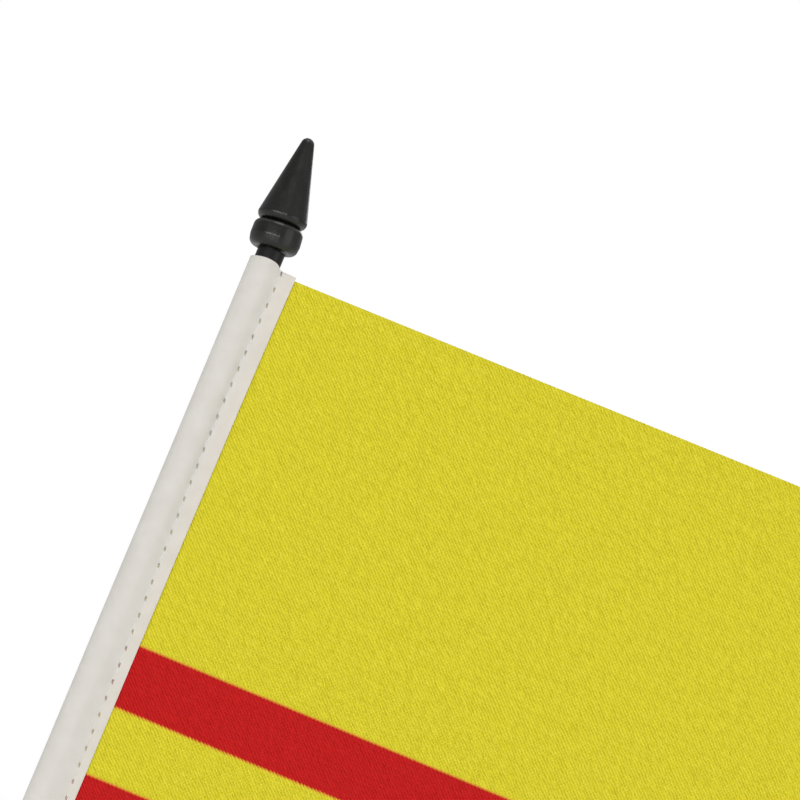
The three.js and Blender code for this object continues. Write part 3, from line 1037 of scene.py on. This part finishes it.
@dataclass
class Sleeve:
    """Tape folded round the staff: two flat legs sewn together, with the hoist edge between them.

    The loop is a circle that touches the staff on the seam's side and stands off it on the other.
    From the circle the tape runs straight to the fold, and from there flat along the cloth.
    """

    thickness: float = 0.16 * MM
    cloth_room: float = 0.2 * MM
    seat: float = 0.05 * MM
    forward: float = 0.7 * MM
    standoff: float = 0.1 * MM
    fold_before_seam: float = 0.1 * MM
    back_nearest: float = 2.06 * MM
    fold_softness: float = 0.1 * MM
    edge_in: float = 0.15 * MM
    edge_flare: float = 0.3 * MM
    edge_flare_reach: float = 16.0 * MM
    mouth_flare: float = 0.05 * MM
    mouth_flare_reach: float = 9.0 * MM
    crest_rise: float = 0.22 * MM
    crest_width: float = 1.5 * MM
    leg_drop: float = 0.46 * MM
    drop_from: float = 1.1 * MM
    drop_over: float = 1.0 * MM
    edge_fall: float = 0.02
    drop_reach: float = 20.0 * MM
    pucker: float = 0.04 * MM
    pucker_reach: float = 0.5 * MM
    puff: float = 0.02 * MM
    puff_place: float = 1.2 * MM
    puff_width: float = 0.8 * MM
    puff_length: float = 13.0 * MM
    uneven: float = 0.012 * MM
    uneven_length: float = 37.0 * MM
    overhang: float = 1.2 * MM
    thread_radius: float = 0.055 * MM
    thread_dive: float = 0.18 * MM
    dive_reach: float = 0.3 * MM
    stitch_steps: int = 24
    seam: Seam = field(default_factory=Seam)

    def __post_init__(self) -> None:
        """Reads the sleeve's place from the frame."""
        low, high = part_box("sleeve_tape")
        self.top, self.length, self.reach = high.z, high.z - low.z, high.x
        self.radius = -low.x - self.thickness / 2.0 - self.standoff
        off = self.cloth_room / 2.0 + self.seat + self.thickness / 2.0
        self.front, self.back = -self.forward - off, -self.forward + off

    def rows(self) -> np.ndarray:
        """Distances below the top: seven to a stitch, four of them across its hole."""
        half, pitch = self.seam.hole_length / 2.0, self.seam.pitch
        steps = np.array([-half, -0.4 * half, 0.4 * half, half, 0.3 * pitch, 0.5 * pitch, 0.7 * pitch])
        inner = (self.seam.holes(self.length)[:, None] + steps[None]).ravel()
        return np.concatenate([[0.0], inner, np.linspace(inner[-1], self.length, 4)[1:]])

    def seam_x(self, below: np.ndarray, outward: float) -> np.ndarray:
        """X of the seam on a leg. On the back leg it stays a little farther from the staff."""
        return np.maximum(self.seam.across(below), self.back_nearest if outward > 0.0 else 0.0)

    def leg(self, below: np.ndarray, leg_y: float,
            outward: float) -> tuple[np.ndarray, np.ndarray, np.ndarray]:
        """One leg, from where it leaves the circle out to its free edge.

        With d the distance from a place back to the fold, the leg lies at
        leg_y + outward * slope * (d + root(d * d + softness * softness)) / 2,
        which is flat beyond the fold and a straight run before it.

        Args:
            below: distances below the top.
            leg_y: Y of its flat part.
            outward: +1 for the back leg, -1 for the front leg.

        Returns:
            Places (rows, columns, 2), their distance from the seam, and the angle at which the run
            leaves the circle.
        """
        seam_x = self.seam_x(below, outward)
        fold = seam_x - self.fold_before_seam
        off_axis = fold + self.standoff
        tangent = np.arccos(np.minimum(self.radius / np.hypot(off_axis, leg_y), 1.0))
        angle = np.arctan2(leg_y, off_axis) + outward * tangent
        touch_x = self.radius * np.cos(angle) - self.standoff
        slope = outward * (self.radius * np.sin(angle) - leg_y) / (fold - touch_x)
        end = self.reach - self.edge_in + self.edge_flare * np.exp(-below / self.edge_flare_reach)
        band = seam_x[:, None] + self.seam.columns(below)
        run = np.linspace(touch_x, band[:, 0], 7, axis=1)[:, 1:-1]
        rest = np.linspace(band[:, -1], end, 6, axis=1)[:, 1:]
        x = np.concatenate([run, band, rest], axis=1)
        before = fold[:, None] - x
        soft = self.fold_softness / np.maximum(slope, 1.0)
        y = leg_y + outward * slope[:, None] * (before + np.hypot(before, soft[:, None])) / 2.0
        return np.stack([x, y], axis=-1), x - seam_x[:, None], angle

    def middle(self, below: np.ndarray) -> tuple[np.ndarray, np.ndarray, np.ndarray]:
        """The tape's middle line in plan for every row: back leg, loop, front leg.

        Args:
            below: distances below the top.

        Returns:
            Places (rows, columns, 2), outward normals of the same shape, and distance to the seam.
        """
        back, back_seam, start = self.leg(below, self.back, 1.0)
        front, front_seam, end = self.leg(below, self.front, -1.0)
        angle = np.linspace(start, end + TURN, 44, axis=1)
        flare = self.mouth_flare * np.exp(-below / self.mouth_flare_reach)
        loop_x = self.radius * np.cos(angle) - self.standoff + flare[:, None] * np.minimum(np.cos(angle), 0.0)
        loop = np.stack([loop_x, self.radius * np.sin(angle)], axis=-1)
        places = np.concatenate([back[:, ::-1], loop, front], axis=1)
        along = np.gradient(places, axis=1)
        along /= np.linalg.norm(along, axis=-1, keepdims=True)
        normals = np.stack([along[..., 1], -along[..., 0]], axis=-1)
        far = np.full(angle.shape, self.length)
        return places, normals, np.concatenate([back_seam[:, ::-1], far, front_seam], axis=1)

    def height(self, below: np.ndarray, x: np.ndarray, y: np.ndarray) -> np.ndarray:
        """Z of the tape's places: its top is cut a little high over the loop's front and low on the legs.

        The drop eases in as s * s * (3 - 2 * s), with s from 0 to 1 over drop_over, and grows slowly
        from there to the free edge.

        Args:
            below: distances below the top.
            x: X of the places.
            y: Y of the places.

        Returns:
            top - below + (rise - drop) * exp(-below / reach).
        """
        rise = self.crest_rise * np.exp(-((x / self.crest_width) ** 2)) * (y < 0.0)
        share = np.clip((x - self.drop_from) / self.drop_over, 0.0, 1.0)
        drop = self.leg_drop * share ** 2 * (3.0 - 2.0 * share)
        drop = drop + self.edge_fall * np.maximum(x - self.drop_from - self.drop_over, 0.0)
        return self.top - below + (rise - drop) * np.exp(-below / self.drop_reach)

    def drawn_in(self, below: np.ndarray, places: np.ndarray, to_seam: np.ndarray) -> np.ndarray:
        """How far the tape stands off its smooth line: drawn in at each hole, puffed between them.

        Args:
            below: distances below the top.
            places: plan places of the columns.
            to_seam: distance of each from the seam.

        Returns:
            Offsets along the outward normal.
        """
        near = np.exp(-((to_seam / self.pucker_reach) ** 2))
        run = np.exp(-(((places[..., 0] - self.puff_place) / self.puff_width) ** 2))
        stitched = self.pucker * near * self.seam.pull(below)[:, None]
        puff = self.puff * run * np.sin(TURN * below / self.puff_length + 0.7)[:, None]
        slow = self.uneven * np.sin(TURN * below / self.uneven_length)[:, None]
        return puff + slow - stitched

    def holes(self, below: np.ndarray, to_seam: np.ndarray) -> np.ndarray:
        """Which quads of the grid are needle holes.

        Above and below the cloth only the front leg's holes are open.

        Args:
            below: distances of the rows below the top.
            to_seam: distance of each point from the seam.

        Returns:
            True for each open quad, shape (rows - 1, columns - 1).
        """
        width, quads = self.seam.hole_width, to_seam.shape[1] - 1
        row = (below[1:] + below[:-1]) / 2.0
        in_row = np.abs(self.seam.since(row)) < self.seam.hole_length / 2.0
        centre = (to_seam[:, 1:] + to_seam[:, :-1])[:-1] / 2.0
        span = np.abs(to_seam[:, 1:] - to_seam[:, :-1])[:-1]
        open_quads = in_row[:, None] & (np.abs(centre) < 0.3 * width) & (span < 1.02 * width)
        over_cloth = (row > self.overhang) & (row < self.length - self.overhang)
        on_front = np.arange(quads) > (quads + 1) // 2
        return open_quads & (over_cloth[:, None] | on_front[None])

    def surface(self) -> Surface:
        """The whole tape as a closed sheet with its needle holes cut through both legs."""
        below = self.rows()
        places, normals, to_seam = self.middle(below)
        places = places + normals * self.drawn_in(below, places, to_seam)[..., None]
        shape = places.shape[:2]
        height = self.height(below[:, None], places[..., 0], places[..., 1])
        steps = np.linalg.norm(np.diff(places, axis=1), axis=-1)
        across = np.concatenate([np.zeros((len(below), 1)), np.cumsum(steps, axis=1)], axis=1)
        flat = np.stack([across, np.broadcast_to(below[:, None], shape)], axis=-1) / MM
        points = np.concatenate([places, height[..., None]], axis=-1)
        outward = np.concatenate([normals, np.zeros((*shape, 1))], axis=-1)
        quads = grid_faces(np.arange(across.size).reshape(shape))
        kept = quads[~self.holes(below, to_seam).ravel()]
        sheet = Surface(points.reshape(-1, 3), kept, flat.reshape(-1, 2))
        return sheet.thickened(outward.reshape(-1, 3), self.thickness)

    def strand(self, leg_y: float, outward: float) -> Surface:
        """One thread of the lockstitch.

        Between holes it lies on its leg, and at each hole it dives steeply into the layers:
        depth = dive * exp(-(distance from the hole / reach) to the sixth power).

        Args:
            leg_y: Y of its leg's flat part.
            outward: +1 for the bobbin thread on the back leg, -1 for the needle thread on the front leg.

        Returns:
            The strand.
        """
        holes = self.seam.holes(self.length)
        below = np.arange(holes[0], holes[-1], self.seam.pitch / self.stitch_steps)
        since = self.seam.since(below)
        dive = self.thread_dive * np.exp(-((since / self.dive_reach) ** 6))
        off = self.thickness / 2.0 + 0.2 * self.thread_radius - dive - self.pucker * self.seam.pull(below)
        side = self.seam_x(below, outward) + self.seam.hole_slant * 0.5 * since
        height = self.height(below, side, np.full_like(side, leg_y))
        return swept(np.column_stack([side, leg_y + outward * off, height]), self.thread_radius)

    def build(self) -> list[bpy.types.Object]:
        """Makes the tape and its two threads.

        Returns:
            The tape, the needle thread and the bobbin thread.
        """
        ribbon = WovenTape("sleeve_weave", PALETTE.tape).make()
        made = [piece("folded_tape", self.surface(), ribbon, Body.FLAG, "sleeve_tape", 50.0)]
        thread = SewingThread("seam_thread", PALETTE.thread).make()
        for name, node, leg_y, outward in (("needle_stitches", "needle_thread", self.front, -1.0),
                                           ("bobbin_stitches", "bobbin_thread", self.back, 1.0)):
            strand = self.strand(leg_y, outward)
            made.append(piece(name, strand, thread, Body.FLAG, node, 60.0))
        return made


@dataclass
class Cloth:
    """The printed flag: a thin sheet, hot-cut all round, flat by the staff and waving at its fly.

    Stripe, gap and print_high are in millimetres, as the print's own pattern is.
    """

    thickness: float = 0.18 * MM
    hoist: float = 140.0 * MM
    overhang: float = 0.94 * MM
    plane: float = -0.7 * MM
    hoist_edge: float = 1.68 * MM
    rise: float = math.tan(math.radians(0.45))
    wave_height: float = 3.2 * MM
    wave_length: float = 125.0 * MM
    wave_start: float = 0.42 * 210.0 * MM
    lean_height: float = 0.9 * MM
    ease_height: float = 0.07 * MM
    ease_start: float = 12.0 * MM
    ripple_height: float = 0.02 * MM
    ripple_length: float = 2.16 * MM
    ripple_reach: float = 1.6 * MM
    lean_lengths: tuple[float, float] = (150.0 * MM, 190.0 * MM)
    ease_lengths: tuple[float, float] = (41.0 * MM, 67.0 * MM)
    edge_bead: float = 0.05 * MM
    bead_in: float = 0.14 * MM
    bead_width: float = 0.13 * MM
    edge_rows: tuple[float, ...] = (0.0, 0.12 * MM, 0.3 * MM, 0.6 * MM, 1.1 * MM)
    fine_reach: float = 4.0 * MM
    fine_step: float = 0.5 * MM
    step: float = 1.25 * MM
    row_step: float = 1.1 * MM
    stripe: float = 7.94
    gap: float = 8.9
    print_high: float = 0.5

    def __post_init__(self) -> None:
        """Reads the cloth's place from the frame."""
        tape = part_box("sleeve_tape")[1]
        self.fly_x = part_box("flag_cloth")[1].x
        self.leg_end = tape.x
        self.top = tape.z - self.overhang

    def bands(self) -> tuple[tuple[float, float], ...]:
        """Top and bottom of the stripes below the top edge, printed a little high of the middle."""
        pitch = self.stripe + self.gap
        first = (self.hoist / MM - 3.0 * self.stripe - 2.0 * self.gap) / 2.0 - self.print_high
        return tuple((first + k * pitch, first + k * pitch + self.stripe) for k in range(3))

    def sideways(self, x: np.ndarray, below: np.ndarray) -> np.ndarray:
        """Y of the sheet: a wave that starts at wave_start and grows in step with the fly.

        Args:
            x: distance from the staff's axis.
            below: distance below the top edge.

        Returns:
            The sheet's Y, with slow hand-made unevenness and ripples beside the seam added.
        """
        grown = np.clip((x - self.wave_start) / (self.fly_x - self.wave_start), 0.0, None)
        wave = self.wave_height * grown * np.sin(TURN * (x - self.wave_start) / self.wave_length)
        askew = np.sin(TURN * (below / self.lean_lengths[1] + x / self.lean_lengths[0]) + 0.6)
        free = np.clip((x - self.leg_end) / self.ease_start, 0.0, 1.0)
        across, down = self.ease_lengths
        dimpled = np.sin(TURN * x / across + 2.2) * np.sin(TURN * below / down + 0.4)
        beyond = (x - self.leg_end) / self.ripple_reach
        rippled = np.exp(-np.abs(beyond)) * np.sin(TURN * below / self.ripple_length) * (beyond > 0.0)
        uneven = self.lean_height * grown * askew + self.ease_height * free * dimpled
        return self.plane + wave + uneven + self.ripple_height * rippled

    def surface(self) -> Surface:
        """The sheet as a grid over its flat cut, thickened, with a small bead along the cut edges."""
        close = np.array(self.edge_rows)
        fine_end = self.leg_end + self.fine_reach
        across = np.concatenate([
            np.arange(self.hoist_edge, fine_end, self.fine_step),
            np.arange(fine_end + 0.4 * MM, self.fly_x - 2.0 * MM, self.step),
            (self.fly_x - close)[::-1],
        ])
        inner = np.arange(1.9 * MM, self.hoist - 1.9 * MM, self.row_step)
        down = np.concatenate([close, inner, (self.hoist - close)[::-1]])
        x, below = np.meshgrid(across, down, indexing="xy")
        tilt = self.rise * (x - self.leg_end)
        y = self.sideways(x, below)
        points = np.stack([x, y, self.top + tilt - below], axis=-1)
        slope = np.gradient(y, axis=1) / np.gradient(x, axis=1)
        normals = np.stack([slope, -np.ones_like(slope), np.zeros_like(slope)], axis=-1)
        normals /= np.linalg.norm(normals, axis=-1, keepdims=True)
        run = run_length(np.column_stack([across, y[0]]))
        flat = np.stack([np.broadcast_to(run, x.shape), below - tilt], axis=-1) / MM
        away = np.minimum(np.minimum(below, self.hoist - below), self.fly_x - x)
        bead = self.edge_bead * np.exp(-((away - self.bead_in) / self.bead_width) ** 2)
        normals *= (1.0 + bead / self.thickness)[..., None]
        quads = grid_faces(np.arange(x.size).reshape(x.shape))
        sheet = Surface(points.reshape(-1, 3), quads, flat.reshape(-1, 2))
        return sheet.thickened(normals.reshape(-1, 3), self.thickness)

    def build(self) -> bpy.types.Object:
        """Makes the cloth."""
        dyed = PrintedCloth("printed_polyester", PALETTE.yellow, PALETTE.red, PALETTE.bleed, self.bands())
        return piece("printed_flag", self.surface(), dyed.make(), Body.FLAG, "flag_cloth", 60.0)


# ---------------------------------------------------------------- studio


@dataclass
class Studio:
    """Pale floor, white surround, soft lights and the camera, whose sensor width is in millimetres."""

    span: float = 97.3 * MM
    distance: float = 1.1
    sensor: float = 36.0
    below_level: float = math.radians(10.0)
    staff_tilt: float = math.radians(22.57)
    aim_from_fold: float = 23.51 * MM
    aim_below_sleeve: float = 9.35 * MM
    surround: float = 0.445
    sky_light: float = 0.85
    sky_spread: float = math.radians(100.0)
    lit: Triple = (0.03, 0.0, 0.31)
    floor_half: float = 14.0

    def camera(self) -> None:
        """A long lens from a little below, rolled so that the staff leans to the right."""
        low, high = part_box("sleeve_tape")
        aim = Vector((low.x + self.aim_from_fold, 0.0, high.z - self.aim_below_sleeve))
        away = Vector((0.0, -math.cos(self.below_level), -math.sin(self.below_level)))
        side = Vector((1.0, 0.0, 0.0))
        upright = away.cross(side)
        across = math.cos(self.staff_tilt) * side + math.sin(self.staff_tilt) * upright
        turn = Matrix((across, away.cross(across), away)).transposed().to_4x4()
        data = bpy.data.cameras.new("close_up")
        data.sensor_width = self.sensor
        data.lens = self.sensor * self.distance / self.span
        data.clip_start, data.clip_end = 0.05, 50.0
        eye = bpy.data.objects.new("close_up", data)
        eye.matrix_world = Matrix.Translation(aim + away * self.distance) @ turn
        bpy.context.scene.collection.objects.link(eye)
        bpy.context.scene.camera = eye

    def world(self) -> None:
        """White to the eye, and a dimmer white as a light."""
        world = bpy.data.worlds.new("surround")
        world.use_nodes = True
        tree = world.node_tree
        backdrop = tree.nodes["Background"]
        backdrop.inputs["Color"].default_value = (1.0, 1.0, 1.0, 1.0)
        backdrop.inputs["Strength"].default_value = 1.0
        glow = tree.nodes.new("ShaderNodeBackground")
        glow.inputs["Strength"].default_value = self.surround
        path = tree.nodes.new("ShaderNodeLightPath")
        mix = tree.nodes.new("ShaderNodeMixShader")
        tree.links.new(path.outputs["Is Camera Ray"], mix.inputs[0])
        tree.links.new(glow.outputs[0], mix.inputs[1])
        tree.links.new(backdrop.outputs[0], mix.inputs[2])
        tree.links.new(mix.outputs[0], tree.nodes["World Output"].inputs[0])
        bpy.context.scene.world = world

    def lamp(self, name: str, place: Triple, size: tuple[float, float], power: float) -> None:
        """A soft box that faces the flag's upper corner.

        Args:
            name: the lamp's name.
            place: where it stands.
            size: its width and height.
            power: its power in watts.
        """
        data = bpy.data.lights.new(name, "AREA")
        data.shape = "RECTANGLE"
        data.size, data.size_y = size
        data.energy = power
        lamp = bpy.data.objects.new(name, data)
        lamp.location = place
        lamp.rotation_euler = (Vector(self.lit) - Vector(place)).to_track_quat("-Z", "Y").to_euler()
        bpy.context.scene.collection.objects.link(lamp)

    def sky(self) -> None:
        """A broad soft light from straight above, which keeps the far floor pale."""
        data = bpy.data.lights.new("sky", "SUN")
        data.energy, data.angle = self.sky_light, self.sky_spread
        bpy.context.scene.collection.objects.link(bpy.data.objects.new("sky", data))

    def floor(self) -> None:
        """A wide pale floor under the foot pad."""
        half = self.floor_half
        corners = [(-half, -half, 0.0), (half, -half, 0.0), (half, half, 0.0), (-half, half, 0.0)]
        mesh = bpy.data.meshes.new("floor")
        mesh.from_pydata(corners, [], [(0, 1, 2, 3)])
        mix = Recipe("pale_floor")
        speck = mix.spread(mix.noise(mix.place(), 9.0, 3.0))
        colour = mix.blend(speck, toned(PALETTE.floor, 0.985), PALETTE.floor)
        mesh.materials.append(mix.finish(Base_Color=colour, Roughness=0.8))
        plane = bpy.data.objects.new("floor", mesh)
        bpy.context.scene.collection.objects.link(plane)

    def build(self) -> None:
        """Sets the stage."""
        scene = bpy.context.scene
        scene.view_settings.view_transform = "Standard"
        scene.view_settings.look = "None"
        self.camera()
        self.world()
        self.floor()
        self.lamp("top", (-0.2, -0.7, 1.75), (0.8, 0.8), 4.7)
        self.sky()
        self.lamp("front", (-0.46, -1.2, 0.34), (1.5, 0.09), 5.3)
        self.lamp("side", (1.2, -0.8, 0.6), (1.0, 1.0), 3.0)
        self.lamp("back", (0.3, 1.5, 1.3), (1.0, 1.0), 6.0)


def main() -> None:
    logging.basicConfig(level=logging.INFO, format="%(name)s: %(message)s")
    Studio().build()
    WeightedBase().build()
    Staff().build()
    Finial().build()
    tape, upper, lower = Sleeve().build()
    flag = Cloth().build()


if __name__ == "__main__":
    main()
